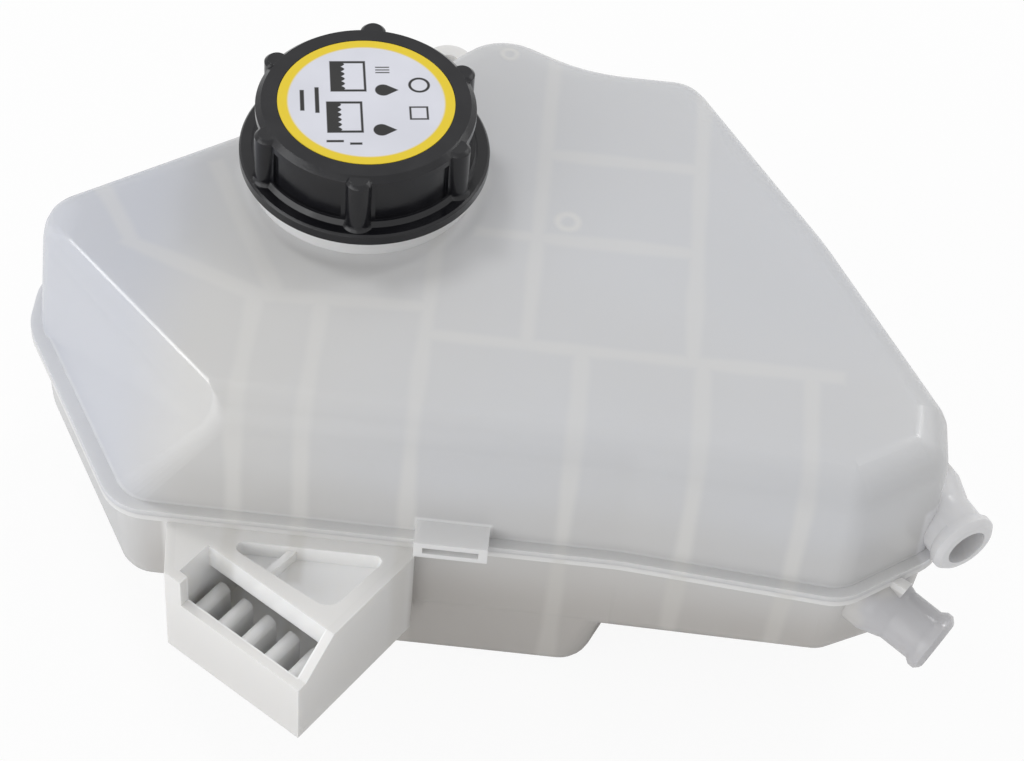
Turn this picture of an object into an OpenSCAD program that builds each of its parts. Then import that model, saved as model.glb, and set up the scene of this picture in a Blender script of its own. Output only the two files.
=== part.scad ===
/* [Tank body] */
// Height of the top face above the seam
top_h = 42; // [38:1:46]
// Depth of the floor's left end below the seam
floor_h = 38; // [36:0.5:42]
// How much deeper the floor lies at the right end
floor_fall = 3.4; // [0:0.2:5]
// Extra depth of the sump below the left floor
sump_extra = 22.5; // [16:0.5:26]
// Wall thickness of both shells
wall = 3; // [2.4:0.2:3.6]
// How far the walls lean in between seam and top face
top_draft = 2; // [2:0.25:5]
// How far the walls lean in between seam and floor
floor_draft = 1.8; // [1.5:0.1:4]
// Radius of the round between walls and top face
top_round = 11; // [8:0.5:13]
// Radius of the round between walls and floor
floor_round = 8; // [6:0.5:10]
// How far the slanted corner runs along the front at the top
facet_run = 31; // [24:1:38]

/* [Weld flange] */
// How far the weld flange stands out of the wall
flange_out = 3; // [2.5:0.25:5]
// Thickness of each half of the weld flange
flange_t = 2; // [1.6:0.2:3]

/* [Baffles] */
// Thickness of the inner baffle walls
baffle_t = 2.2; // [1.6:0.2:2.8]
// Height of the air channels over and the liquid channels under the baffles
baffle_gap = 7; // [5:0.5:9]
// Width of those channels
baffle_gap_w = 9; // [6:0.5:11]

/* [Filler neck] */
// Bore of the filler neck
neck_bore = 42; // [40:0.5:44]
// Wall of the filler neck
neck_wall = 4; // [3:0.25:4.5]
// Height of the neck lip above the top face
neck_h = 17; // [15:0.5:19]
// Diameter of the round step under the cap
collar_d = 66; // [62:1:70]
// Height of the round step under the cap
collar_h = 6; // [4:0.5:6.5]

/* [Filler cap] */
// Diameter of the flange at the foot of the cap
skirt_d = 72; // [68:1:76]
// Thickness of the flange at the foot of the cap
skirt_t = 3.4; // [2.6:0.2:4]
// Wall of the cap round the neck
cap_wall = 3.9; // [2.4:0.1:4]
// Thickness of the cap's lid
lid_t = 3.2; // [2.6:0.2:4]
// Number of grip lugs
lugs = 6; // [4:1:8]
// Width of a grip lug
lug_w = 7.4; // [5:0.2:9]
// How far a grip lug stands out of the lid
lug_out = 3; // [2:0.25:4]
// How far the panels between the lugs are set back
panel_depth = 0.8; // [0.4:0.1:1.2]
// Clearance between cap wall and neck
cap_gap = 2.4; // [2:0.1:3]
// Diameter of the label
label_d = 50.2; // [44:0.2:54]
// Thickness of the label
label_t = 0.4; // [0.3:0.1:0.8]
// How far the cap rises in one turn
cap_pitch = 5; // [4:0.5:6]

/* [Valve plug] */
// How deep the plug reaches into the neck
plug_reach = 15; // [13:0.5:17]
// Running clearance of the plug in the neck, on the radius
plug_gap = 0.3; // [0.2:0.05:0.5]
// Wall of the plug
plug_wall = 3.4; // [3:0.2:4]
// Thickness of the flange that sits on the neck lip
plug_flange_t = 2; // [1.6:0.2:2.6]
// Section diameter of the two ring seals
seal_t = 2.4; // [2:0.1:2.8]
// Opening of the valve seat
seat_bore = 17; // [14:0.5:19]
// Diameter of the pressure valve plate
valve_d = 25; // [23:0.5:27]
// Diameter of the pressure spring at its wire's middle
spring_d = 19; // [17:0.5:21]
// Wire of the pressure spring
spring_wire = 1.4; // [1:0.1:1.8]
// Turns of the pressure spring
spring_turns = 4; // [3:0.5:5]
// Diameter of the small inward valve
inlet_valve_d = 13; // [12:0.5:14]
// Wire of the small inward valve's spring
inlet_wire = 0.6; // [0.4:0.1:0.8]

/* [Hose spigots] */
// Outer diameter of both spigots
spigot_d = 16.2; // [14:0.2:18]
// Bore of both spigots
spigot_bore = 12; // [10:0.5:13]
// Diameter of the bead at the mouth
bead_d = 18.4; // [17:0.2:20]
// Length of the bead
bead_l = 5; // [4:0.5:7]
// Length of the upper spigot, mouth to wall
upper_spigot_l = 19; // [16:1:24]
// Length of the lower spigot, mouth to wall
lower_spigot_l = 21; // [18:1:26]

/* [Rear ear] */
// Bolt hole of the rear ear
ear_hole = 6.6; // [5.2:0.2:8.4]
// Outer diameter of the rear ear
ear_d = 16; // [14:0.5:20]
// Thickness of the rear ear
ear_t = 5; // [4:0.5:7]
// How far the bolt hole lies behind the notch in the tank
ear_reach = 31; // [24:1:36]

/* [Side pocket] */
// Depth of the pocket box below the seam
pocket_h = 36; // [32:1:38]
// Height of the pocket's front lip
lip_h = 23.5; // [18:0.5:26]
// Wall of the pocket box
pocket_wall = 3; // [2.4:0.2:4]
// Number of round ribs on the pocket floor
pocket_ribs = 5; // [3:1:6]
// Depth of the tray on top of the pocket box
tray_depth = 6; // [4:0.5:8]

/* [Hidden] */
$fn = 64;

natural = [0.86, 0.87, 0.86];
black = [0.09, 0.09, 0.1];

// Wall line at the seam, counterclockwise from the front left corner: x, y and corner radius.
// The neck axis is at x = 0, y = 0.
seam_corners = [
    [-55.5, -97.5, 12],
    [84, -97.5, 60],
    [146, -102.5, 12],
    [171.7, -84, 12],
    [171.7, -63.5, 12],
    [138, -2.5, 120],
    [96.7, 60.3, 15],
    [62.8, 60.3, 50],
    [31.9, 74.7, 20.5],
    [10, 48.6, 14],
    [-20, 37, 22],
    [-40, 17, 18],
    [-90.2, -19, 13],
    [-90.2, -37, 16]
];
// Corner that the slanted face cuts back at the top
facet_corner = 0;
// How far that face's left end runs back at the top, and the small round on its upper edge
facet_rise = 6.5;
ridge_round = 1.5;
// How much further the front leans in at the top, and the lower front's right end at the floor
front_lean = 1.5;
floor_lean = 5;
// Steps in each rounded corner of the wall line, and in the round between wall and top face or floor:
// outside and inside
corner_steps = [7, 2];
round_steps = [6, 2];
// A point of the top face from which its whole edge is in view
hub = [30, -25];

// Height at which the sump's wall leaves the tank wall, and its edges left, right and behind
sump_z = floor_h - floor_round - 2;
sump_left = -38;
sump_right = 87;
sump_back = 14;
// How far those edges lean in down to the sump's floor
sump_lean_left = 4;
sump_lean_right = 8;
sump_lean_back = 5;
sump_round = 6;
// Step between the sump's front and the tank's front wall
sump_step = 0.3;

// Inner baffles: both ends of each one's middle line
baffles = [
    [[52, -60], [52, 60]],
    [[98, -60], [98, 60]],
    [[52, 15], [98, 15]],
    [[36, -19], [98, -19]],
    [[24, -60], [160, -60]],
    [[24, -110], [24, -22]],
    [[-5.5, -110], [-5.5, -51]],
    [[-24, -110], [-24, -52]],
    [[67.5, -110], [67.5, -60]],
    [[101, -110], [101, -60]],
    [[131, -110], [131, -60]],
    [[-62, -37], [-24, -52]],
    [[-24, -52], [24, -50]],
    [[-42, -4], [-19, -50]],
    [[-76, -12], [-61, -37]]
];
// Straight channels through the baffles, under the top face for air and on the floor for liquid
channels = [
    [[-40, -70], [150, -70]],
    [[12, -40], [134, -40]],
    [[75, -74], [75, 42]],
    [[10, 5], [92, 5]],
    [[-76, -25], [-5, -25]],
    [[5, -74], [5, -35]],
    [[-42, -62], [-42, -25]]
];

cap_bottom = top_h + collar_h + 1;
neck_top = top_h + neck_h;
neck_d = neck_bore + 2 * neck_wall;

// Valve plug: outer sizes
plug_d = neck_bore - 2 * plug_gap;
plug_flange_d = neck_d - 1.6;
plug_bottom = neck_top - plug_reach;
shank_d = 32;
head_d = shank_d + 4;
head_t = 2.6;
head_z = neck_top + plug_flange_t + 2.4;
head_top = head_z + head_t;
// Hook ring of the cap round the plug's head
hook_t = 1.6;
hook_wall = 2.2;
hook_in = 1.1;
play = 0.3;
roof = head_top + play;
cap_top = roof + lid_t + label_t;
cap_bore = neck_d + 2 * cap_gap;
lid_d = cap_bore + 2 * cap_wall;

// Ring seals: outer edge just clear of the bore
seal_play = 0.05;
seal_r = neck_bore / 2 - seal_play - seal_t / 2;
groove_d = 2 * (seal_r - seal_t / 2 - seal_play);
groove_w = seal_t + 0.5;
seal_low = plug_bottom + 3;
seal_high = plug_bottom + 8.4;

// Valve chamber inside the plug
chamber_d = groove_d - 2 * (plug_wall - 1);
chamber_step = neck_top - 0.5;
chamber_top_d = shank_d - 2 * (plug_wall - 0.8);
chamber_roof = head_z + 0.2;
vents = 4;
vent_d = 2;

// Valve seat ring and the parts that sit on it
seat_t = 3;
seat_lip_h = 1;
seat_lip_w = 1;
snap = 0.45;
snap_h = 1.2;
seat_z = plug_bottom + seat_t + seat_lip_h;
valve_seal_t = 1.6;
valve_seal_bore = 10;
valve_t = 1.6;
valve_z = seat_z + valve_seal_t;
guide_h = 3.6;
guide_t = 1;
hub_h = 1.4;
stem_d = 3;
stem_gap = 0.15;
inlet_t = 1.3;
clip_d = 7;
clip_t = 0.8;
inlet_spring_d = 4.6;
inlet_spring_h = 4;
inlet_spring_turns = 4;
clip_z = valve_z + valve_t + hub_h + inlet_spring_h;

ear_pos = [17.5, 65 + ear_reach];

upper_spigot_mouth = [179.5, -88.5, 9];
upper_spigot_turn = -56.5;
// How much wider the upper spigot is, and where its root ends at the rear
upper_spigot_more = 0.6;
upper_spigot_rear = -62;
lower_spigot_mouth = [176, -104, -17];
lower_spigot_turn = -32;
lower_spigot_droop = 12;

// Flared root of the spigots, and the webs that carry them
root_flare = 2.2;
root_l = 7;
web_t = 3;
split = 0.3;

// Box of the pocket in plan: left rear, left front, right front, right rear and the tank wall
pocket_plan = [[-43, -93], [-40, -117.5], [0.7, -144.4], [27.3, -103.4], [27.3, -93]];
pocket_top = flange_t;
pocket_front = unit(pocket_plan[2] - pocket_plan[1]);
// Depth of the trough in front of the pocket's roof
trough = 14.7;
// How far the pocket reaches back from its front, less than to the tank wall
pocket_back = 33;
roof_t = 3;
rib_w = 4.4;
rib_h = 14.5;
lip_z = pocket_h - lip_h;

// Plate under the rear ear
arm_root = [[4, 43], [32, 60]];
gusset_t = 3;

// Vector helpers
function unit(v) = v / norm(v);
function left(v) = [-v[1], v[0]];
function spot(c) = [c[0], c[1]];
function turn(v, a) = [v[0] * cos(a) - v[1] * sin(a), v[0] * sin(a) + v[1] * cos(a)];
function bend(u, v) = atan2(u[0] * v[1] - u[1] * v[0], u * v);

// Moves a counterclockwise line of corners inwards by d, the facet's edge by e, and keeps rounds concentric
function inset(corners, d, e) = [
    for (i = [0 : len(corners) - 1])
        let (
            n = len(corners),
            b = spot(corners[i]),
            u = unit(b - spot(corners[(i + n - 1) % n])),
            v = unit(spot(corners[(i + 1) % n]) - b),
            c = left(u) * left(v),
            before = i == facet_corner ? e : d,
            after = i == facet_corner - 1 + (facet_corner == 0 ? n : 0) ? e : d,
            p = b + before * (left(u) + left(v)) / (1 + c)
                + (after == before ? [0, 0] : (after - before) * (left(v) - c * left(u)) / (1 - c * c)),
            r = corners[i][2] - (bend(u, v) > 0 ? d : -d)
        )
        [p[0], p[1], max(r, 0.6)]
];

// The points of a line of corners with each corner rounded
function rounded(corners, steps) = [
    for (i = [0 : len(corners) - 1])
        let (
            n = len(corners),
            b = spot(corners[i]),
            u = unit(b - spot(corners[(i + n - 1) % n])),
            v = unit(spot(corners[(i + 1) % n]) - b),
            a = bend(u, v),
            r = corners[i][2] * sign(a),
            start = b - u * abs(r) * tan(abs(a) / 2)
        )
        for (k = [0 : steps])
            start + r * left(u) - r * turn(left(u), a * k / steps)
];

// Corners between two lines of corners, a share s of the way
function between(low, high, s) = [for (i = [0 : len(low) - 1]) low[i] * (1 - s) + high[i] * s];

// Wall line at the top face: all sides lean in, the front by more, and the slanted face runs to its ridge
top_line = inset(seam_corners, top_draft, top_draft);
top_corners = [
    for (i = [0 : len(top_line) - 1])
        i == facet_corner ? [top_line[i][0] + facet_run, top_line[i][1] + front_lean, 8]
        : i == len(top_line) - 1 ? [top_line[i][0], top_line[i][1] + facet_rise, 12]
        : i < 3 ? top_line[i] + [0, front_lean, 0]
        : top_line[i]
];
floor_line = inset(seam_corners, floor_draft, floor_draft);
floor_corners = [for (i = [0 : len(floor_line) - 1]) i == 2 ? floor_line[i] + [0, floor_lean, 0] : floor_line[i]];

// Ends of the sloping floor
floor_left = -90;
floor_right = 170;
// Depth at x of what would lie at height z on a level floor
function sloped(z, x, fall) = z * (1 + fall / floor_h * (x - floor_left) / (floor_right - floor_left));
function lift(points, z, fall = 0) = [for (p = points) [p[0], p[1], sloped(z, p[0], fall)]];

// How far the small round on the slanted face's upper edge has turned in at angle a
function ridge_in(a) = a < 60 ? 0 : ridge_round * (a < 80 ? 0.2 : 1);

// Rings of a skin that rises from the seam to a face at height h and rounds into it, set in by d
function skin_rings(low, high, h, r, d, side, facet, fall) = let (flat = abs(h) - d, bow = r - d, up = sign(h)) [
    for (s = [0 : round_steps[side]])
        let (
            a = 90 * s / round_steps[side],
            z = flat - bow * (1 - sin(a)),
            in = bow * (1 - cos(a))
        )
        lift(rounded(inset(between(low, high, z / abs(h)), d + in, d + (facet ? ridge_in(a) : in)), corner_steps[side]), up * z, fall)
];

// Triangles between ring number a and ring number b of n points each
function band(a, b, n) = [
    for (i = [0 : n - 1])
        let (j = (i + 1) % n)
        each [[a * n + i, b * n + i, b * n + j], [a * n + i, b * n + j, a * n + j]]
];

// Triangles from ring number a to the single point at index c
function fan(a, c, n) = [for (i = [0 : n - 1]) [a * n + i, c, a * n + (i + 1) % n]];

function flat_list(rings) = [for (ring = rings) each ring];
function flipped(faces) = [for (f = faces) [f[2], f[1], f[0]]];

// One half of the housing as a solid block: a drafted wall from z0 on, closed by a rounded face at height h
// and set in by d. Above the seam h is positive, below it negative.
module block(low, high, z0, h, r, d, facet = false, fall = 0) {
    up = sign(h);
    side = d > 0 ? 1 : 0;
    base = rounded(inset(between(low, high, z0 / abs(h)), d, d), corner_steps[side]);
    rings = concat([lift(base, up * z0)], skin_rings(low, high, h, r, d, side, facet, fall));
    n = len(base);
    k = len(rings);
    points = concat(flat_list(rings), [[hub[0], hub[1], up * z0], [hub[0], hub[1], sloped(h - up * d, hub[0], fall)]]);
    faces = concat(
        flipped(fan(0, k * n, n)),
        [for (s = [0 : k - 2]) each band(s, s + 1, n)],
        fan(k - 1, k * n + 1, n)
    );
    polyhedron(points, up > 0 ? faces : flipped(faces), convexity = 6);
}

// Flat flange round the seam, from z = 0 upwards
module weld_flange() {
    linear_extrude(flange_t) polygon(rounded(inset(seam_corners, -flange_out, -flange_out), corner_steps[0]));
}

// Wall line of the sump at depth z, from the front left
function sump_line(z) = let (
    s = (z - sump_z) / (floor_h + sump_extra - sump_z),
    front = seam_corners[0][1] + floor_draft * z / floor_h + sump_step,
    l = sump_left + sump_lean_left * s,
    r = sump_right - sump_lean_right * s,
    b = sump_back - sump_lean_back * s
) [[l, front, 9], [r, front, 9], [r, b, 14], [l, b - 18, 14]];

module sump(d) {
    translate([0, 0, -sump_z])
        block(sump_line(sump_z), sump_line(floor_h + sump_extra), 0, sump_z - floor_h - sump_extra, sump_round, d);
}

// Upright plate t thick along a line, from z0 to z1
module plate_on(line, t, z0, z1) {
    run = line[1] - line[0];
    translate([line[0][0], line[0][1], 0])
        rotate([0, 0, atan2(run[1], run[0])])
            translate([-t / 2, -t / 2, z0])
                cube([norm(run) + t, t, z1 - z0]);
}

// Baffle walls from z0 to z1, with the channels cut through them from g0 to g1
module baffle_walls(z0, z1, g0, g1) {
    difference() {
        for (line = baffles) plate_on(line, baffle_t, z0, z1);
        for (line = channels) plate_on(line, baffle_gap_w, g0, g1);
    }
}

// Moves the part so that its origin is the rear ear's bolt hole in the seam plane
module placed() {
    translate([-ear_pos[0], -ear_pos[1], 0]) children();
}

// Hose spigot along +Z, from inside the wall to its mouth at z = 0, with a flared root
module spigot(l, more = 0) {
    d = spigot_d / 2 + more;
    b = bead_d / 2 + more;
    rotate_extrude()
        polygon([[0, -l - 6], [d + root_flare, -l - 6], [d + root_flare, -l], [d + 0.4, -l + root_l - 1], [d, -l + root_l],
            [d, -bead_l], [b, -bead_l + 1.6], [b, -1.6], [b - 1.2, -0.4], [b - 2, 0], [0, 0]]);
}

// Upright web between a spigot and the shell's edge
module spigot_web(mouth, turned, l, low, high) {
    translate([mouth[0], mouth[1], 0])
        rotate([90, 0, turned])
            translate([0, 0, -web_t / 2])
                linear_extrude(web_t)
                    polygon([[-l - 4, low], [-l + root_l - 3, low], [-l + root_l + 1, high], [-l - 4, high]]);
}

module spigot_hole(l) {
    translate([0, 0, -l - 9]) cylinder(d = spigot_bore, h = l + 10);
}

module aim_upper_spigot() {
    translate(upper_spigot_mouth) rotate([0, 90, upper_spigot_turn]) children();
}

module aim_lower_spigot() {
    translate(lower_spigot_mouth)
        rotate([0, 90 + lower_spigot_droop, lower_spigot_turn])
            children();
}

// Small block with a slot on the weld flange over the pocket
module clip_lug() {
    difference() {
        translate([27, -105, 0.3]) cube([20.5, 12, 6.1]);
        translate([29.5, -106, 2]) cube([15.5, 5.5, 2.4]);
    }
}

module upper_shell() color(natural) placed() {
    difference() {
        union() {
            weld_flange();
            block(seam_corners, top_corners, flange_t / 2, top_h, top_round, 0, true);
            translate([0, 0, top_h - wall / 2]) cylinder(d = collar_d, h = collar_h + wall / 2);
            translate([0, 0, top_h]) cylinder(d = neck_d, h = neck_h);
            difference() {
                union() {
                    aim_upper_spigot() spigot(upper_spigot_l, upper_spigot_more);
                    spigot_web(upper_spigot_mouth, upper_spigot_turn, upper_spigot_l, split, upper_spigot_mouth[2]);
                }
                translate([100, -150, split - 20]) cube([upper_spigot_mouth[0] - 104, 120, 20]);
                translate([100, upper_spigot_rear, -50]) cube([150, 60, 150]);
            }
            clip_lug();
        }
        difference() {
            block(seam_corners, top_corners, -1, top_h, top_round, wall, true);
            baffle_walls(-2, top_h, top_h - wall - baffle_gap, top_h + 1);
        }
        translate([0, 0, top_h - wall - 1]) cylinder(d = collar_d - 2 * wall, h = collar_h + 1);
        translate([0, 0, top_h - wall - 1]) cylinder(d = neck_bore, h = neck_h + wall + 2);
        aim_upper_spigot() spigot_hole(upper_spigot_l);
    }
}

// Places its children with x along the pocket's front, y towards its mouth and z = 0 at the seam
module at_pocket() {
    translate([pocket_plan[1][0], pocket_plan[1][1], 0])
        rotate([0, 0, atan2(pocket_front[1], pocket_front[0])])
            mirror([0, 1, 0])
                children();
}

// Open box with a low front lip, round ribs on its floor and a tray in its top
module pocket() {
    l = norm(pocket_plan[2] - pocket_plan[1]);
    difference() {
        translate([0, 0, -pocket_h]) linear_extrude(pocket_h - pocket_top) polygon(pocket_plan);
        at_pocket() {
            // slanted cut from the roof's edge to the front lip
            translate([2 * pocket_wall, 0, 0])
                rotate([90, 0, 90])
                    linear_extrude(l)
                        polygon([[-trough, -pocket_top], [-pocket_wall, -lip_z], [5, -lip_z], [5, 1], [-trough, 1]]);
            // the pocket itself, under the roof and up through the trough
            translate([pocket_wall, -pocket_back, pocket_wall - pocket_h])
                cube([l - 2 * pocket_wall, pocket_back - pocket_wall, pocket_h - pocket_top - tray_depth - roof_t - pocket_wall]);
            translate([pocket_wall, -trough, pocket_wall - pocket_h])
                cube([l - 2 * pocket_wall, trough - pocket_wall, pocket_h]);
        }
        tray();
    }
    at_pocket() for (i = [0 : pocket_ribs - 1]) {
        x = pocket_wall + (l - 2 * pocket_wall) * (i + 0.5) / pocket_ribs;
        translate([x, -pocket_wall / 2, pocket_wall / 2 - pocket_h]) rotate([90, 0, 0]) {
            translate([-rib_w / 2, 0, 0]) cube([rib_w, rib_h, trough]);
            translate([0, rib_h, 0]) cylinder(d = rib_w, h = trough);
        }
    }
}

// Sunk three-cornered tray in the pocket's roof, with a low rib across it
module tray() {
    difference() {
        translate([0, 0, -pocket_top - tray_depth])
            linear_extrude(tray_depth + 1)
                polygon(rounded([[-27, -104.5, 2], [6.5, -124.5, 5], [20.5, -104.5, 2]], corner_steps[0]));
        translate([-9, -108, -pocket_top - tray_depth])
            rotate([0, 0, 54])
                translate([-12, -1, 0])
                    cube([24, 2, tray_depth - 2]);
    }
}

// Flat arm with a bolt hole, carried by a gusset under it
module rear_ear() {
    difference() {
        union() {
            translate([0, 0, -ear_t]) linear_extrude(ear_t)
                polygon([arm_root[0], arm_root[1], [ear_pos[0] + ear_d / 2, ear_pos[1]], [ear_pos[0] - ear_d / 2, ear_pos[1]]]);
            translate([ear_pos[0], ear_pos[1], -ear_t]) cylinder(d = ear_d, h = ear_t);
            translate([ear_pos[0] - gusset_t / 2, 50, 0])
                rotate([90, 0, 90])
                    linear_extrude(gusset_t)
                        polygon([[0, -1], [ear_pos[1] - ear_d / 2 - 51, -1], [ear_pos[1] - ear_d / 2 - 51, -ear_t - 1], [0, -26]]);
        }
        translate([ear_pos[0], ear_pos[1], -ear_t - 1]) cylinder(d = ear_hole, h = ear_t + 2);
    }
}

module lower_shell() color(natural) placed() {
    difference() {
        union() {
            mirror([0, 0, 1]) weld_flange();
            block(seam_corners, floor_corners, flange_t / 2, -floor_h, floor_round, 0, fall = floor_fall);
            sump(0);
            pocket();
            rear_ear();
            aim_lower_spigot() spigot(lower_spigot_l);
            spigot_web(lower_spigot_mouth, lower_spigot_turn, lower_spigot_l, lower_spigot_mouth[2], -split);
        }
        difference() {
            union() {
                block(seam_corners, floor_corners, -1, -floor_h, floor_round, wall, fall = floor_fall);
                sump(wall);
            }
            baffle_walls(-floor_h - sump_extra, 2, -floor_h - sump_extra - 1, wall + baffle_gap - floor_h);
        }
        aim_lower_spigot() spigot_hole(lower_spigot_l);
    }
}

// One of the cap's grip lugs, a half-round rib with a flared foot
module grip_lug(z0, z1) {
    r = lug_w / 2;
    translate([lid_d / 2 + lug_out - r, 0, z0]) {
        cylinder(r = r, h = z1 - z0 - 1);
        translate([0, 0, z1 - z0 - 1]) cylinder(r1 = r, r2 = r - 1, h = 1);
        cylinder(r1 = r + 1, r2 = r, h = 2);
    }
}

module cap_cover() color(black) placed() {
    r = lid_d / 2;
    edge = 1.6;
    panel_low = cap_bottom + skirt_t + 2.2;
    panel_high = cap_top - 3.6;
    lug_angle = 2 * asin(lug_w / lid_d);
    difference() {
        union() {
            rotate_extrude()
                polygon([[0, cap_bottom], [skirt_d / 2, cap_bottom], [skirt_d / 2, cap_bottom + skirt_t - 0.6],
                    [skirt_d / 2 - 0.6, cap_bottom + skirt_t], [r + 1.3, cap_bottom + skirt_t],
                    [r + 0.3, cap_bottom + skirt_t + 1.4], [r, cap_top - edge], [r - edge, cap_top], [0, cap_top]]);
            for (i = [0 : lugs - 1])
                rotate([0, 0, -87 + 360 * i / lugs])
                    grip_lug(cap_bottom + skirt_t - 0.5, cap_top - 0.4);
        }
        for (i = [0 : lugs - 1])
            rotate([0, 0, -87 + 360 * i / lugs + lug_angle / 2 + 2])
                rotate_extrude(angle = 360 / lugs - lug_angle - 4)
                    polygon([[r - panel_depth, panel_low], [r + 2, panel_low], [r + 2, panel_high], [r - panel_depth, panel_high]]);
        translate([0, 0, cap_bottom - 1]) cylinder(d = cap_bore, h = roof - cap_bottom + 1);
        translate([0, 0, cap_top - label_t]) cylinder(d = label_d + 0.4, h = label_t + 1);
    }
    // ring of hooks that carries the plug's head
    hook_r = head_d / 2 + play;
    low = neck_top + plug_flange_t + play;
    rotate_extrude()
        polygon([[hook_r + hook_wall, roof + 0.5], [hook_r, roof + 0.5], [hook_r, low + hook_t], [hook_r - hook_in, low + hook_t],
            [hook_r - hook_in, low + 0.6], [hook_r, low], [hook_r + hook_wall, low]]);
}

module cap_label() color([0.93, 0.93, 0.97]) placed() {
    translate([0, 0, cap_top - label_t]) cylinder(d = label_d, h = label_t);
}

// Hollow plug that hangs in the cap's hooks and closes the neck
module cap_plug() color([0.2, 0.2, 0.21]) placed() {
    r = plug_d / 2;
    difference() {
        rotate_extrude()
            polygon([[0, plug_bottom], [r - 1, plug_bottom], [r, plug_bottom + 1], [r, neck_top], [plug_flange_d / 2, neck_top],
                [plug_flange_d / 2, neck_top + plug_flange_t], [shank_d / 2, neck_top + plug_flange_t],
                [shank_d / 2, head_z], [head_d / 2, head_z], [head_d / 2, head_top - 0.8], [head_d / 2 - 0.8, head_top],
                [0, head_top]]);
        for (z = [seal_low, seal_high])
            rotate_extrude()
                translate([groove_d / 2, z - groove_w / 2])
                    square([seal_t + 2, groove_w]);
        translate([0, 0, plug_bottom - 1]) cylinder(d = chamber_d, h = chamber_step - plug_bottom + 1);
        translate([0, 0, plug_bottom + (seat_t - snap_h) / 2]) cylinder(d = chamber_d + 2 * snap, h = snap_h);
        translate([0, 0, chamber_step - 1]) cylinder(d = chamber_top_d, h = chamber_roof - chamber_step + 1);
        for (i = [0 : vents - 1])
            rotate([0, 0, 360 * i / vents])
                translate([0, 0, (neck_top + plug_flange_t + head_z) / 2])
                    rotate([0, 90, 0])
                        cylinder(d = vent_d, h = shank_d);
    }
}

module ring_seal(z) {
    translate([0, 0, z]) rotate_extrude() translate([seal_r, 0]) circle(d = seal_t, $fn = 24);
}

module plug_seal_upper() color([0.06, 0.06, 0.06]) placed() ring_seal(seal_high);

module plug_seal_lower() color([0.06, 0.06, 0.06]) placed() ring_seal(seal_low);

// Ring snapped into the plug's foot, with a raised lip for the valve seal
module valve_seat_ring() color([0.3, 0.3, 0.31]) placed() {
    r = chamber_d / 2 - 0.03;
    b = seat_bore / 2;
    z = plug_bottom;
    rotate_extrude()
        polygon([[b + 0.8, z], [r - 0.6, z], [r, z + 0.6], [r, z + (seat_t - snap_h) / 2 + 0.05],
            [r + snap, z + seat_t / 2], [r, z + (seat_t + snap_h) / 2 - 0.05], [r, z + seat_t], [b + seat_lip_w + 0.5, z + seat_t],
            [b + seat_lip_w, seat_z], [b, seat_z], [b, z + 0.8]]);
}

// Plate with a boss for the seal below and a guide collar for the spring above
module pressure_valve() color([0.75, 0.72, 0.6]) placed() {
    boss = valve_seal_bore / 2 - 0.1;
    guide = (spring_d - spring_wire) / 2 - 0.4;
    difference() {
        rotate_extrude()
            polygon([[0, seat_z + 0.3], [boss, seat_z + 0.3], [boss, valve_z], [valve_d / 2, valve_z], [valve_d / 2, valve_z + valve_t],
                [guide, valve_z + valve_t], [guide, valve_z + valve_t + guide_h], [guide - guide_t, valve_z + valve_t + guide_h],
                [guide - guide_t, valve_z + valve_t], [clip_d / 2, valve_z + valve_t], [clip_d / 2, valve_z + valve_t + hub_h],
                [0, valve_z + valve_t + hub_h]]);
        translate([0, 0, seat_z - 1]) cylinder(d = stem_d + 2 * stem_gap, h = 10);
        for (i = [0 : 2])
            rotate([0, 0, 120 * i])
                translate([(stem_d / 2 + stem_gap + boss) / 2, 0, seat_z - 1])
                    cylinder(d = vent_d - 0.2, h = 10);
    }
}

module pressure_valve_seal() color([0.06, 0.06, 0.06]) placed() {
    translate([0, 0, seat_z])
        difference() {
            cylinder(d = valve_d - 1, h = valve_seal_t);
            translate([0, 0, -1]) cylinder(d = valve_seal_bore, h = valve_seal_t + 2);
        }
}

// Round wire wound round Z from z0 to z1
module coil(d, wire, z0, z1, turns) {
    sides = 8;
    steps = ceil(16 * turns);
    rise = z1 - z0 - wire;
    points = [
        for (i = [0 : steps])
            for (k = [0 : sides - 1])
                let (a = 360 * turns * i / steps, b = 360 * k / sides, r = (d + wire * cos(b)) / 2)
                [r * cos(a), r * sin(a), z0 + wire / 2 + rise * i / steps + wire / 2 * sin(b)]
    ];
    faces = concat(
        [for (i = [0 : steps - 1]) each band(i, i + 1, sides)],
        [[for (k = [0 : sides - 1]) k]],
        [[for (k = [0 : sides - 1]) steps * sides + sides - 1 - k]]
    );
    polyhedron(points, flipped_all(faces), convexity = 10);
}

function flipped_all(faces) = [for (f = faces) [for (i = [len(f) - 1 : -1 : 0]) f[i]]];

module pressure_spring() color([0.7, 0.71, 0.72]) placed() {
    coil(spring_d, spring_wire, valve_z + valve_t, chamber_roof, spring_turns);
}

// Small plate under the seal, with a stem up through the pressure valve
module inlet_valve() color([0.7, 0.71, 0.72]) placed() {
    rotate_extrude()
        polygon([[0, seat_z - inlet_t], [inlet_valve_d / 2 - 0.3, seat_z - inlet_t], [inlet_valve_d / 2, seat_z - inlet_t + 0.3],
            [inlet_valve_d / 2, seat_z], [inlet_valve_d / 2 - 0.6, seat_z], [inlet_valve_d / 2 - 0.8, seat_z - 0.3],
            [stem_d / 2, seat_z - 0.3], [stem_d / 2, clip_z], [stem_d / 2 - 0.5, clip_z], [stem_d / 2 - 0.5, clip_z + clip_t],
            [stem_d / 2 - 0.1, clip_z + clip_t], [stem_d / 2 - 0.5, clip_z + clip_t + 0.6], [0, clip_z + clip_t + 0.6]]);
}

module inlet_valve_spring() color([0.7, 0.71, 0.72]) placed() {
    coil(inlet_spring_d, inlet_wire, valve_z + valve_t + hub_h, clip_z, inlet_spring_turns);
}

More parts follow.
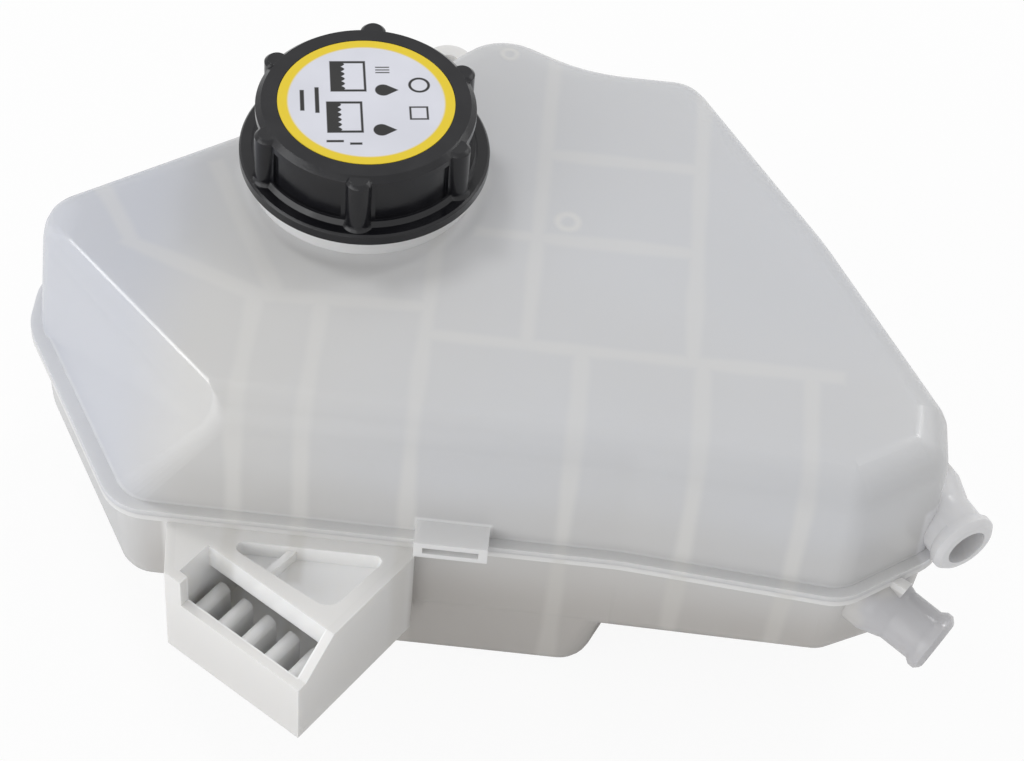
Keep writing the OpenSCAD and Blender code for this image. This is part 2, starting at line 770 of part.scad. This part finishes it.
module inlet_valve_clip() color([0.6, 0.61, 0.62]) placed() {
    translate([0, 0, clip_z])
        difference() {
            cylinder(d = clip_d, h = clip_t);
            translate([0, 0, -1]) cylinder(d = stem_d - 1, h = clip_t + 2);
        }
}

upper_shell();
lower_shell();
cap_cover();
cap_label();
cap_plug();
plug_seal_upper();
plug_seal_lower();
valve_seat_ring();
pressure_valve();
pressure_valve_seal();
pressure_spring();
inlet_valve();
inlet_valve_spring();
inlet_valve_clip();
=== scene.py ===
import math
import bpy
from mathutils import Matrix, Vector


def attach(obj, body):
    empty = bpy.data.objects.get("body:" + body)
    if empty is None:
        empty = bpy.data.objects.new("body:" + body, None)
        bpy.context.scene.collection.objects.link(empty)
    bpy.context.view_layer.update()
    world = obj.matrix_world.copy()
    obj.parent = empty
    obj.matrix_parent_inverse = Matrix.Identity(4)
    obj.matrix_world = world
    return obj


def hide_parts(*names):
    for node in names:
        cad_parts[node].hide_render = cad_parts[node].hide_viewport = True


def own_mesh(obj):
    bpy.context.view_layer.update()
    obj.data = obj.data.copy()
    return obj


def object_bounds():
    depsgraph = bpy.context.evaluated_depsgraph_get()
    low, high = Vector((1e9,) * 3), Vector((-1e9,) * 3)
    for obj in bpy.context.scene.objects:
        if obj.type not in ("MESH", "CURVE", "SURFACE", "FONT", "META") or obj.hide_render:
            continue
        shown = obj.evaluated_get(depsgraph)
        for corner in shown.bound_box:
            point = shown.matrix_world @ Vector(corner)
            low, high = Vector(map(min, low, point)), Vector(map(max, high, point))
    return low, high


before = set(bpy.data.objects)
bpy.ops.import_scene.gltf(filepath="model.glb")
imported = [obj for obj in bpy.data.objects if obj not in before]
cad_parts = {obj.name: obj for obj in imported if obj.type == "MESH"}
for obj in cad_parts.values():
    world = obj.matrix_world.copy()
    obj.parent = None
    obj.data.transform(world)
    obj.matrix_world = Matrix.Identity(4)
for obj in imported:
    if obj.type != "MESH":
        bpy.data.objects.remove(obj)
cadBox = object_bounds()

# the neck's axis in the frame, and the height of the tank's lowest face
neckX, neckY = -0.0175, -0.096
floorZ = cadBox[0][2]


# a point given in millimetres from the neck's axis and the weld plane
def spot(x, y, z=0):
    return Vector((x / 1000 + neckX, y / 1000 + neckY, z / 1000))


scene = bpy.context.scene
scene.view_settings.view_transform = "Standard"

# camera: the photograph's view
camera = dict(place=(49.109, -525.214, 569.990), elevation=49.45, roll=6.07, lens=90, nearest=0.05)
camData = bpy.data.cameras.new("camera")
camData.lens = camera["lens"]
camData.clip_start = camera["nearest"]
camObj = bpy.data.objects.new("camera", camData)
scene.collection.objects.link(camObj)
camObj.location = spot(*camera["place"])
tilt = Matrix.Rotation(math.radians(90 - camera["elevation"]), 3, "X")
camObj.rotation_euler = (tilt @ Matrix.Rotation(math.radians(camera["roll"]), 3, "Z")).to_euler()
scene.camera = camObj
print("camera done")

# soft boxes: where from, how far, how wide, how strong, and their tint
lampAim = (40, -20, 0)
softBoxes = dict(
    keyBox=dict(way=(-0.40, 0.36, 0.84), far=1.2, wide=0.24, watts=2.5, tint=(1, 1, 1)),
    rimBox=dict(way=(0.45, 0.48, 0.75), far=1.2, wide=0.18, watts=1.4, tint=(1, 1, 1)),
    sideBox=dict(way=(0.72, 0.36, 0.60), far=0.75, wide=0.5, watts=0.8, tint=(1, 1, 1)),
    leftBox=dict(way=(-0.85, -0.42, 0.30), far=1.3, wide=0.9, watts=4.4, tint=(0.98, 0.99, 1)),
    frontBox=dict(way=(-0.40, -0.86, 0.32), far=1.4, wide=1.1, watts=3.5, tint=(1, 1, 1)),
)
for name, box in softBoxes.items():
    lamp = bpy.data.lights.new(name, "AREA")
    lamp.size = box["wide"]
    lamp.energy = box["watts"]
    lamp.color = box["tint"]
    obj = bpy.data.objects.new(name, lamp)
    scene.collection.objects.link(obj)
    way = Vector(box["way"]).normalized()
    obj.location = spot(*lampAim) + way * box["far"]
    obj.rotation_euler = way.to_track_quat("Z", "Y").to_euler()


# a node tree, of a material, of the room or of a shared effect
class Graph:
    def __init__(self, tree):
        self.tree = tree
        self.nodes = tree.nodes

    def put(self, kind, **values):
        node = self.nodes.new(kind)
        for key, value in values.items():
            setattr(node, key, value)
        return node

    def feed(self, socket, value):
        if value is None:
            return
        if isinstance(value, (int, float)):
            socket.default_value = value
        elif isinstance(value, tuple):
            missing = len(socket.default_value) - len(value)
            socket.default_value = (*value, *[1] * missing)
        else:
            self.tree.links.new(value, socket)

    def math(self, operation, a, b=None, c=None):
        node = self.put("ShaderNodeMath", operation=operation)
        for socket, value in zip(node.inputs, (a, b, c)):
            self.feed(socket, value)
        return node.outputs[0]

    def fold(self, operation, first, *others):
        for other in others:
            first = self.math(operation, first, other)
        return first

    def times(self, *values):
        return self.fold("MULTIPLY", *values)

    def minus(self, a, b):
        return self.math("SUBTRACT", a, b)

    def most(self, *values):
        return self.fold("MAXIMUM", *values)

    def least(self, *values):
        return self.fold("MINIMUM", *values)

    def off(self, value, middle):
        # how far a value is from a middle, either way
        return self.math("ABSOLUTE", self.minus(value, middle))

    def along(self, x, y, heading):
        # distance along a heading in degrees, 0 being X and 90 Y
        turn = math.radians(heading)
        return self.math("MULTIPLY_ADD", x, math.cos(turn), self.times(y, math.sin(turn)))

    def away(self, x, y, place):
        dx = self.minus(x, place[0])
        dy = self.minus(y, place[1])
        return self.math("SQRT", self.math("ADD", self.times(dx, dx), self.times(dy, dy)))

    def ramp(self, value, low, high):
        node = self.put("ShaderNodeMapRange", interpolation_type="SMOOTHSTEP")
        for socket, v in (("Value", value), ("From Min", low), ("From Max", high)):
            self.feed(node.inputs[socket], v)
        return node.outputs["Result"]

    def blend(self, part, a, b):
        node = self.put("ShaderNodeMix", data_type="RGBA")
        for i, v in ((0, part), (6, a), (7, b)):
            self.feed(node.inputs[i], v)
        return node.outputs[2]

    def noise(self, coord, scale, detail=2.0):
        node = self.put("ShaderNodeTexNoise")
        for socket, v in (("Vector", coord), ("Scale", scale), ("Detail", detail)):
            self.feed(node.inputs[socket], v)
        return node.outputs["Fac"]

    def flat(self, coord):
        # millimetres from the neck's axis and the weld plane
        parts = self.put("ShaderNodeSeparateXYZ")
        self.feed(parts.inputs[0], coord)
        x = self.times(self.minus(parts.outputs[0], neckX), 1000)
        y = self.times(self.minus(parts.outputs[1], neckY), 1000)
        return x, y, self.times(parts.outputs[2], 1000)


# the room: plain light, white to the camera and in reflections
roomLook = dict(light=0.54, seen=1.0, mirrored=0.75)


def makeRoom(look):
    world = bpy.data.worlds.new("room")
    scene.world = world
    world.use_nodes = True
    g = Graph(world.node_tree)
    path = g.put("ShaderNodeLightPath").outputs
    toCamera = g.math("MULTIPLY_ADD", path["Is Camera Ray"], look["seen"] - look["light"], look["light"])
    toMirror = g.math("MULTIPLY_ADD", path["Is Glossy Ray"], look["mirrored"] - look["light"], toCamera)
    back = g.nodes["Background"]
    g.feed(back.inputs["Strength"], toMirror)
    g.feed(back.inputs["Color"], (1, 1, 1))


# floor: pale, a little lighter to the camera than it is lit
floorLook = dict(colour=(0.88, 0.88, 0.88), glow=0.92, wide=8, gap=0.0002, rough=0.9, gloss=0.1)


def layFloor(look):
    bpy.ops.object.select_all(action="DESELECT")
    bpy.ops.mesh.primitive_plane_add(size=look["wide"], location=(0, 0, floorZ - look["gap"]))
    floor = bpy.context.object
    floor.name = "floor"
    mat = bpy.data.materials.new("floorMat")
    mat.use_nodes = True
    g = Graph(mat.node_tree)
    shader = g.nodes["Principled BSDF"]
    g.feed(shader.inputs["Base Color"], look["colour"])
    g.feed(shader.inputs["Roughness"], look["rough"])
    g.feed(shader.inputs["Specular IOR Level"], look["gloss"])
    seen = g.put("ShaderNodeLightPath").outputs["Is Camera Ray"]
    mix = g.put("ShaderNodeMixShader")
    g.feed(mix.inputs[0], g.times(seen, look["glow"]))
    g.feed(mix.inputs[1], shader.outputs[0])
    g.feed(mix.inputs[2], g.put("ShaderNodeEmission").outputs[0])
    g.feed(g.nodes["Material Output"].inputs["Surface"], mix.outputs[0])
    floor.data.materials.append(mat)


makeRoom(roomLook)
layFloor(floorLook)
print("stage done")


# a shared effect with named inputs and outputs
def newEffect(name, inputs, outputs):
    tree = bpy.data.node_groups.new(name, "ShaderNodeTree")
    for key, kind, value in inputs:
        socket = tree.interface.new_socket(name=key, in_out="INPUT", socket_type="NodeSocket" + kind)
        if value is not None:
            socket.default_value = value
    for key, kind in outputs:
        tree.interface.new_socket(name=key, in_out="OUTPUT", socket_type="NodeSocket" + kind)
    g = Graph(tree)
    return g, g.put("NodeGroupInput").outputs, g.put("NodeGroupOutput").inputs


# fine orange-peel and dust of a moulded surface
grainLook = dict(fineShare=0.2, waveDetail=3.0, waveRange=(0.3, 0.7))


def mouldedGrain(look):
    inputs = [("Coord", "Vector", None), ("Fine", "Float", 900.0), ("Wave", "Float", 40.0)]
    g, given, result = newEffect("mouldedGrain", inputs, [("Height", "Float"), ("Spread", "Float")])
    fine = g.noise(given["Coord"], given["Fine"])
    wave = g.noise(given["Coord"], given["Wave"], look["waveDetail"])
    fineHeight = g.times(fine, look["fineShare"])
    g.feed(result["Height"], g.math("MULTIPLY_ADD", wave, 1 - look["fineShare"], fineHeight))
    g.feed(result["Spread"], g.ramp(wave, *look["waveRange"]))
    return g


# where the baffles meet the walls, seen through them: ends in millimetres from the neck's axis
longBaffles = [((x, -60), (x, 60)) for x in (52, 98)]
frontBaffles = [((x, -110), (x, -60)) for x in (67.5, 101, 131)]
neckBaffles = [((24, -110), (24, -22)), ((-5.5, -110), (-5.5, -51)), ((-24, -110), (-24, -52))]
crossBaffles = [((24, -60), (138, -60)), ((52, 15), (98, 15)), ((36, -19), (98, -19))]
leftBaffles = [
    ((-62, -37), (-24, -52)), ((-24, -52), (24, -50)), ((-42, -4), (-19, -50)), ((-76, -12), (-61, -37)),
]
baffles = longBaffles + frontBaffles + neckBaffles + crossBaffles + leftBaffles
bandWobble = dict(scale=25, reach=3.0)


def baffleBands(runs, wobble):
    inputs = [("Coord", "Vector", None), ("Half width", "Float", 1.6), ("Soft edge", "Float", 1.6)]
    g, given, result = newEffect("baffleBands", inputs, [("Band", "Float")])
    x, y, z = g.flat(given["Coord"])
    distances = []
    for start, end in runs:
        run = Vector(end) - Vector(start)
        middle = (Vector(start) + Vector(end)) / 2
        heading = math.degrees(math.atan2(run.y, run.x))
        dx = g.minus(x, middle.x)
        dy = g.minus(y, middle.y)
        beyond = g.minus(g.off(g.along(dx, dy, heading), 0), run.length / 2)
        beside = g.off(g.along(dx, dy, heading + 90), 0)
        distances.append(g.most(beyond, beside))
    shake = g.minus(g.noise(given["Coord"], wobble["scale"]), 0.5)
    nearest = g.math("MULTIPLY_ADD", shake, wobble["reach"], g.least(*distances))
    outer = g.math("ADD", given["Half width"], given["Soft edge"])
    g.feed(result["Band"], g.ramp(nearest, outer, given["Half width"]))
    return g


grain = mouldedGrain(grainLook)
bands = baffleBands(baffles, bandWobble)
print("shared effects done")


def newMaterial(name):
    mat = bpy.data.materials.new(name)
    mat.use_nodes = True
    g = Graph(mat.node_tree)
    g.shader = g.nodes["Principled BSDF"]
    coord = g.put("ShaderNodeTexCoord").outputs["Object"]
    return mat, g, coord


def useEffect(g, effect, coord, **values):
    node = g.put("ShaderNodeGroup", node_tree=effect.tree)
    g.feed(node.inputs["Coord"], coord)
    for key, value in values.items():
        node.inputs[key.replace("_", " ")].default_value = value
    return node.outputs


def roughen(g, height, strength, distance, normal=None):
    node = g.put("ShaderNodeBump")
    for socket, v in (("Height", height), ("Strength", strength), ("Distance", distance), ("Normal", normal)):
        g.feed(node.inputs[socket], v)
    return node.outputs["Normal"]


def setShader(g, **values):
    for key, value in values.items():
        g.feed(g.shader.inputs[key.replace("_", " ")], value)


# milky plastic of the two shells: a pair of distances says where a mask starts and where it is full,
# in millimetres from the neck's axis and the weld plane; a gate mark is its place and its reach
gateMarks = dict(places=[(60.3, -11.6, 4.2), (38, 56.6, 3.2)], ring=0.7, width=0.45, top=(40, 41.5),
                 share=0.5, bump=0.25, bumpHeight=0.0006)
# painted light: places painted lighter, standing in for light that comes through the walls into shaded spots;
# a side is a heading in degrees and its two distances
paintedLightPlaces = dict(
    clipBlock=dict(
        sides=[(0, 26, 27), (0, 48.5, 47.5), (90, -92, -93)],
        heights=[(8, 7), (-0.5, 0.5)], share=1),
    sidePocket=dict(
        sides=[(83.16, -95.8, -98.3), (0, -45, -43), (0, 28, 26)],
        heights=[(-1.5, -2.5)], share=0.55),
    pocketHollow=dict(
        sides=[(236.6, 118.4, 117.2), (-32.98, 77.4, 76.3), (186.98, 52.2, 51.1), (83.16, -95.8, -98.3)],
        heights=[(-34.2, -33.2), (-1.5, -2.5)], share=1),
)
# painted light: the weld flange and the collar under the cap's skirt are painted lighter against the shade
# there
weldFlange = dict(height=(3.4, 2.4), share=0.45)
collar = dict(reach=(38, 33), height=(38.5, 42))
spigotReach = dict(root=4, width=(11, 9.3), height=(12, 9.5), share=0.65)
shellLook = dict(
    cloud=11, cloudRange=(0.2, 0.8), haze=25.3, hazeShare=0.3,
    wave=28, fine=700, rough=0.20, spread=0.06, bump=0.12, bumpHeight=0.0003,
    endFrom=(-35, -62), endShare=0.55, paintedShadeFrom=(-66, -34), bandHalf=0.9, bandSoft=2.6, sideHeight=(38, 28),
    ior=1.49, glowThrough=0.35, glowColour=(1.0, 0.96, 0.88), glowDepth=0.004,
)
# painted light and shade: the two shells are one plastic, the upper's colours painted lighter and the lower's
# darker; low is the colour of the painted shade low on the walls
upperLook = dict(
    shellLook, warm=(0.635, 0.63, 0.62), cool=(0.615, 0.625, 0.65), deep=(0.55, 0.55, 0.555),
    end=(0.55, 0.575, 0.655), low=(0.53, 0.52, 0.505), paintedShadeHeight=(26, 8), paintedShadeShare=0.45,
    band=(0.74, 0.73, 0.705), sideShare=0.45, topShare=0.28, paintedLight=(0.82, 0.82, 0.82), paintedLightShare=0.75,
    marks=True,
    spigot=dict(mouth=(179.5, -88.5), height=9, turn=-56.5, length=18, colour=(0.80, 0.80, 0.82)),
)
lowerLook = dict(
    shellLook, warm=(0.60, 0.585, 0.565), cool=(0.60, 0.595, 0.59), deep=(0.54, 0.53, 0.515),
    end=(0.60, 0.61, 0.63), low=(0.45, 0.425, 0.40), paintedShadeHeight=(-4, -32), paintedShadeShare=0.7,
    band=(0.66, 0.645, 0.61), sideShare=0.40, topShare=0.40, paintedLight=(0.96, 0.96, 0.955), paintedLightShare=0.95,
    marks=False,
    spigot=dict(mouth=(176, -104), height=-15, turn=-32, length=20, colour=(0.50, 0.50, 0.53)),
)


def placeMask(g, x, y, z, place):
    edges = [g.ramp(g.along(x, y, heading), start, full) for heading, start, full in place["sides"]]
    edges += [g.ramp(z, start, full) for start, full in place["heights"]]
    return g.times(*edges, place["share"])


# painted light: the strongest of the places painted lighter
def paintedLightMask(g, x, y, z):
    flangePart = g.times(g.ramp(g.off(z, 0), *weldFlange["height"]), weldFlange["share"])
    collarPart = g.times(g.ramp(g.away(x, y, (0, 0)), *collar["reach"]), g.ramp(z, *collar["height"]))
    return g.most(flangePart, collarPart, *[placeMask(g, x, y, z, place) for place in paintedLightPlaces.values()])


# the stretch of a hose spigot outside the wall, which the shell colours with painted light and shade
def spigotMask(g, x, y, z, spigot, reach):
    dx = g.minus(x, spigot["mouth"][0])
    dy = g.minus(y, spigot["mouth"][1])
    back = g.along(dx, dy, spigot["turn"])
    outside = g.ramp(back, -spigot["length"] - reach["root"], -spigot["length"])
    width = g.ramp(g.off(g.along(dx, dy, spigot["turn"] + 90), 0), *reach["width"])
    height = g.ramp(g.off(z, spigot["height"]), *reach["height"])
    return g.times(outside, width, height, reach["share"])


# faint rings that the moulding gates leave on the top
def gateMask(g, x, y, z, marks):
    rings = []
    for px, py, reach in marks["places"]:
        beside = g.off(g.away(x, y, (px, py)), reach * marks["ring"])
        rings.append(g.ramp(beside, reach * marks["width"], 0))
    return g.times(g.most(*rings), g.ramp(z, *marks["top"]))


def milkyPlastic(name, look):
    mat, g, coord = newMaterial(name)
    x, y, z = g.flat(coord)
    skin = useEffect(g, grain, coord, Fine=look["fine"], Wave=look["wave"])
    cloud = g.ramp(g.noise(coord, look["cloud"], 0.0), *look["cloudRange"])
    colour = g.blend(cloud, look["warm"], look["cool"])
    colour = g.blend(g.times(g.noise(coord, look["haze"], 0.0), look["hazeShare"]), colour, look["deep"])
    # the slanted end has a bluer tint
    colour = g.blend(g.times(g.ramp(x, *look["endFrom"]), look["endShare"]), colour, look["end"])
    # painted shade: the walls are painted darker low down, as on the front where less light falls, fading out
    # towards the left end
    low = g.times(g.ramp(z, *look["paintedShadeHeight"]), g.ramp(x, *look["paintedShadeFrom"]), look["paintedShadeShare"])
    colour = g.blend(low, colour, look["low"])
    # painted light over the weld flange, the collar, the clip block and the pocket
    colour = g.blend(g.times(paintedLightMask(g, x, y, z), look["paintedLightShare"]), colour, look["paintedLight"])
    # painted shade on the lower spigot, which is painted darker, and painted light on the upper one, which is
    # painted lighter
    colour = g.blend(spigotMask(g, x, y, z, look["spigot"], spigotReach), colour, look["spigot"]["colour"])
    # the baffles show less on the flat top than on the sides
    band = useEffect(g, bands, coord, Half_width=look["bandHalf"], Soft_edge=look["bandSoft"])["Band"]
    onSide = g.ramp(g.off(z, 0), *look["sideHeight"])
    share = g.math("MULTIPLY_ADD", onSide, look["sideShare"] - look["topShare"], look["topShare"])
    colour = g.blend(g.times(band, share), colour, look["band"])
    normal = roughen(g, skin["Height"], look["bump"], look["bumpHeight"])
    if look["marks"]:
        mark = gateMask(g, x, y, z, gateMarks)
        colour = g.blend(g.times(mark, gateMarks["share"]), colour, look["band"])
        normal = roughen(g, mark, gateMarks["bump"], gateMarks["bumpHeight"], normal)
    rough = g.math("MULTIPLY_ADD", skin["Spread"], look["spread"], look["rough"])
    setShader(g, Base_Color=colour, Roughness=rough, Normal=normal, IOR=look["ior"])
    setShader(g, Subsurface_Weight=look["glowThrough"], Subsurface_Radius=look["glowColour"],
              Subsurface_Scale=look["glowDepth"])
    return mat


upperPlastic = milkyPlastic("milkyPlasticUpper", upperLook)
lowerPlastic = milkyPlastic("milkyPlasticLower", lowerLook)

# plain mouldings, metals and seals
plainLooks = dict(
    capBlack=dict(dark=(0.005, 0.005, 0.007), light=(0.008, 0.008, 0.010), rough=0.17, bump=0.35,
                  fine=1500, wave=120, metal=0.0),
    plugGrey=dict(dark=(0.030, 0.030, 0.032), light=(0.045, 0.045, 0.048), rough=0.40, bump=0.3,
                  fine=1500, wave=120, metal=0.0),
    sealRubber=dict(dark=(0.009, 0.009, 0.009), light=(0.014, 0.014, 0.014), rough=0.55, bump=0.3,
                    fine=2000, wave=200, metal=0.0),
    pressedBrass=dict(dark=(0.55, 0.44, 0.20), light=(0.66, 0.55, 0.28), rough=0.28, bump=0.15,
                      fine=900, wave=160, metal=1.0),
    springSteel=dict(dark=(0.50, 0.51, 0.52), light=(0.60, 0.61, 0.62), rough=0.28, bump=0.15,
                     fine=900, wave=160, metal=1.0),
)
plainSkin = dict(spread=0.1, bumpHeight=0.0003)


def plainFinish(name, look):
    mat, g, coord = newMaterial(name)
    skin = useEffect(g, grain, coord, Fine=look["fine"], Wave=look["wave"])
    colour = g.blend(skin["Spread"], look["dark"], look["light"])
    rough = g.math("MULTIPLY_ADD", skin["Spread"], plainSkin["spread"], look["rough"])
    normal = roughen(g, skin["Height"], look["bump"], plainSkin["bumpHeight"])
    setShader(g, Base_Color=colour, Roughness=rough, Normal=normal, Metallic=look["metal"])
    return mat


plain = {name: plainFinish(name, look) for name, look in plainLooks.items()}

# printed disc of the cap: a yellow ring and plain level marks, in millimetres from the disc's middle
discLook = dict(
    paper=(0.72, 0.73, 0.80), worn=0.94, stain=60, stainRange=(0.3, 0.7),
    yellow=(0.80, 0.60, 0.02), ink=(0.012, 0.012, 0.012), turned=9.0, soft=0.16, ring=(21.8, 22.6),
    rough=0.34, spread=0.08, fine=1800, wave=150, bump=0.1, bumpHeight=0.0002,
)
# a tank mark is an outline, filled up to a scalloped level
tankMarks = dict(places=[(-4.9, 10.2), (-6.3, -6.4)], half=(5.1, 6.3), line=0.9, shift=0.2,
                 level=1.9, scallop=2.0)
dropMarks = dict(places=[(4.9, 4.5), (3.8, -11.6)], radius=2.3, taper=0.62, tip=2.72, shoulder=0.9)
# a bar is its middle and its half lengths
barMarks = [(-13.9, 0.5, 0.6, 5.2), (-18.1, 0.4, 0.6, 4.2), (-9.3, -16.0, 2.4, 0.45)]
barMarks += [(-3.5, -17.0, 1.7, 0.45)] + [(5.0, y, 2.0, 0.22) for y in (11.7, 12.8, 13.9)]
circleMark = dict(place=(15.2, 6.5), radius=2.7, line=0.4)
squareMark = dict(place=(14.6, -4.9), half=2.4, line=0.3)


def boxMark(g, x, y, place, half):
    dx = g.minus(g.off(x, place[0]), half[0])
    dy = g.minus(g.off(y, place[1]), half[1])
    return g.most(dx, dy)


def tankMark(g, x, y, place, look):
    cx, cy = place
    outer = boxMark(g, x, y, place, look["half"])
    inner = boxMark(g, x, y, (cx + look["shift"], cy), [half - look["line"] for half in look["half"]])
    outline = g.most(outer, g.times(inner, -1))
    wave = g.math("SINE", g.times(g.minus(y, cy), math.pi / look["scallop"]))
    level = g.minus(g.minus(x, cx - look["level"]), g.off(wave, 0))
    return g.least(outline, g.most(outer, level))


def dropMark(g, x, y, place, look):
    belly = g.minus(g.away(x, y, place), look["radius"])
    dx = g.minus(x, place[0])
    flank = g.math("MULTIPLY_ADD", dx, look["taper"], g.off(y, place[1]))
    tip = g.most(g.minus(flank, look["tip"]), g.math("MULTIPLY_ADD", dx, -1, look["shoulder"]))
    return g.least(belly, tip)


def discMaterial(look):
    mat, g, coord = newMaterial("discPrint")
    x0, y0, z = g.flat(coord)
    x = g.along(x0, y0, look["turned"])
    y = g.along(x0, y0, look["turned"] + 90)
    marks = [tankMark(g, x, y, place, tankMarks) for place in tankMarks["places"]]
    marks += [dropMark(g, x, y, place, dropMarks) for place in dropMarks["places"]]
    marks += [boxMark(g, x, y, (cx, cy), (hx, hy)) for cx, cy, hx, hy in barMarks]
    circle = g.off(g.away(x, y, circleMark["place"]), circleMark["radius"])
    square = g.off(boxMark(g, x, y, squareMark["place"], (squareMark["half"], squareMark["half"])), 0)
    marks += [g.minus(circle, circleMark["line"]), g.minus(square, squareMark["line"])]
    ink = g.ramp(g.least(*marks), look["soft"], -look["soft"])
    worn = tuple(v * look["worn"] for v in look["paper"])
    colour = g.blend(g.ramp(g.noise(coord, look["stain"]), *look["stainRange"]), look["paper"], worn)
    colour = g.blend(ink, colour, look["ink"])
    colour = g.blend(g.ramp(g.away(x0, y0, (0, 0)), *look["ring"]), colour, look["yellow"])
    skin = useEffect(g, grain, coord, Fine=look["fine"], Wave=look["wave"])
    rough = g.math("MULTIPLY_ADD", skin["Spread"], look["spread"], look["rough"])
    setShader(g, Base_Color=colour, Roughness=rough,
              Normal=roughen(g, skin["Height"], look["bump"], look["bumpHeight"]))
    return mat


disc = discMaterial(discLook)

# coarse thread on the filler neck, seen when the cap is off its seat
threadLook = dict(radius=25.0, depth=1.15, low=51.0, pitch=5.0, turns=1.3, steps=72, sides=10,
                  merge=0.00001, sharp=50)


def makeThread(look):
    bpy.ops.object.select_all(action="DESELECT")
    bpy.ops.mesh.primitive_circle_add(
        vertices=look["sides"], radius=look["depth"] / 1000, fill_type="NOTHING",
        location=(look["radius"] / 1000, 0, 0), rotation=(math.radians(90), 0, 0))
    piece = bpy.context.object
    piece.name = "neckThread"
    bpy.ops.object.transform_apply(location=True, rotation=True, scale=True)
    helix = piece.modifiers.new("helix", "SCREW")
    helix.axis = "Z"
    helix.angle = math.tau * look["turns"]
    helix.screw_offset = look["pitch"] * look["turns"] / 1000
    helix.steps = helix.render_steps = int(look["steps"] * look["turns"])
    bpy.ops.object.modifier_apply(modifier=helix.name)
    bpy.ops.object.mode_set(mode="EDIT")
    bpy.ops.mesh.select_all(action="SELECT")
    bpy.ops.mesh.remove_doubles(threshold=look["merge"])
    bpy.ops.mesh.fill_holes(sides=0)
    bpy.ops.mesh.select_all(action="SELECT")
    bpy.ops.mesh.normals_make_consistent(inside=False)
    bpy.ops.object.mode_set(mode="OBJECT")
    piece.location = spot(0, 0, look["low"])
    bpy.ops.object.transform_apply(location=True, rotation=True, scale=True)
    bpy.ops.object.shade_smooth_by_angle(angle=math.radians(look["sharp"]))
    piece.data.materials.clear()
    piece.data.materials.append(upperPlastic)
    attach(piece, "tank")


makeThread(threadLook)
print("thread done")

# smooth copies of the mouldings: welded, with their edges eased, in place of the plain solids
mouldings = dict(
    upperMoulding=dict(node="upper_shell", body="tank", slot="natural_plastic", ease=0.00045, sharp=35),
    lowerMoulding=dict(node="lower_shell", body="tank", slot="natural_plastic", ease=0.00045, sharp=35),
    capMoulding=dict(node="cap_cover", body="cap", slot="black_plastic", ease=0.0003, sharp=30),
)
# smooth-shaded copies of the springs, in place of the plain solids
coils = dict(
    pressureCoil=dict(node="pressure_spring", body="plug", slot="steel", ease=0, sharp=60,
                      joint="pressure_lift", travel=0.003, upperEndStays=True),
    inletCoil=dict(node="inlet_valve_spring", body="pressure_valve_body", slot="steel", ease=0, sharp=60,
                   joint="inlet_drop", travel=0.0015, upperEndStays=False),
)
meshCare = dict(merge=0.000002, flatAngle=0.4, easeSteps=2)


def easeMoulding(name, look):
    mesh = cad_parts[look["node"]].data.copy()
    piece = bpy.data.objects.new(name, mesh)
    scene.collection.objects.link(piece)
    bpy.ops.object.select_all(action="DESELECT")
    piece.select_set(True)
    bpy.context.view_layer.objects.active = piece
    bpy.ops.object.mode_set(mode="EDIT")
    bpy.ops.mesh.select_all(action="SELECT")
    bpy.ops.mesh.remove_doubles(threshold=meshCare["merge"])
    bpy.ops.mesh.dissolve_limited(angle_limit=math.radians(meshCare["flatAngle"]))
    bpy.ops.object.mode_set(mode="OBJECT")
    if look["ease"]:
        bevel = piece.modifiers.new("easedEdges", "BEVEL")
        bevel.width = look["ease"]
        bevel.segments = meshCare["easeSteps"]
        bevel.limit_method = "ANGLE"
        bevel.angle_limit = math.radians(look["sharp"])
        bevel.use_clamp_overlap = True
        bpy.ops.object.modifier_apply(modifier=bevel.name)
    bpy.ops.object.shade_smooth_by_angle(angle=math.radians(look["sharp"]))
    weighted = piece.modifiers.new("flatFaces", "WEIGHTED_NORMAL")
    weighted.keep_sharp = True
    bpy.ops.object.modifier_apply(modifier=weighted.name)
    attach(piece, look["body"])
    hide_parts(look["node"])
    return piece


def shortenCoil(piece):
    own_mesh(piece)


eased = {look["node"]: easeMoulding(name, look) for name, look in {**mouldings, **coils}.items()}
for look in coils.values():
    shortenCoil(eased[look["node"]])
print("mouldings done")

finishes = [
    (upperPlastic, ["upper_shell"]),
    (lowerPlastic, ["lower_shell"]),
    (disc, ["cap_label"]),
    (plain["capBlack"], ["cap_cover"]),
    (plain["plugGrey"], ["cap_plug", "valve_seat_ring"]),
    (plain["sealRubber"], ["plug_seal_upper", "plug_seal_lower", "pressure_valve_seal"]),
    (plain["pressedBrass"], ["pressure_valve"]),
    (plain["springSteel"], ["pressure_spring", "inlet_valve", "inlet_valve_spring", "inlet_valve_clip"]),
]


def dress(obj, mat):
    if len(obj.data.materials) == 0:
        obj.data.materials.append(mat)
    for slot in obj.material_slots:
        slot.material = mat


for mat, nodes in finishes:
    for node in nodes:
        dress(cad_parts[node], mat)
        if node in eased:
            dress(eased[node], mat)
print("finishes done")
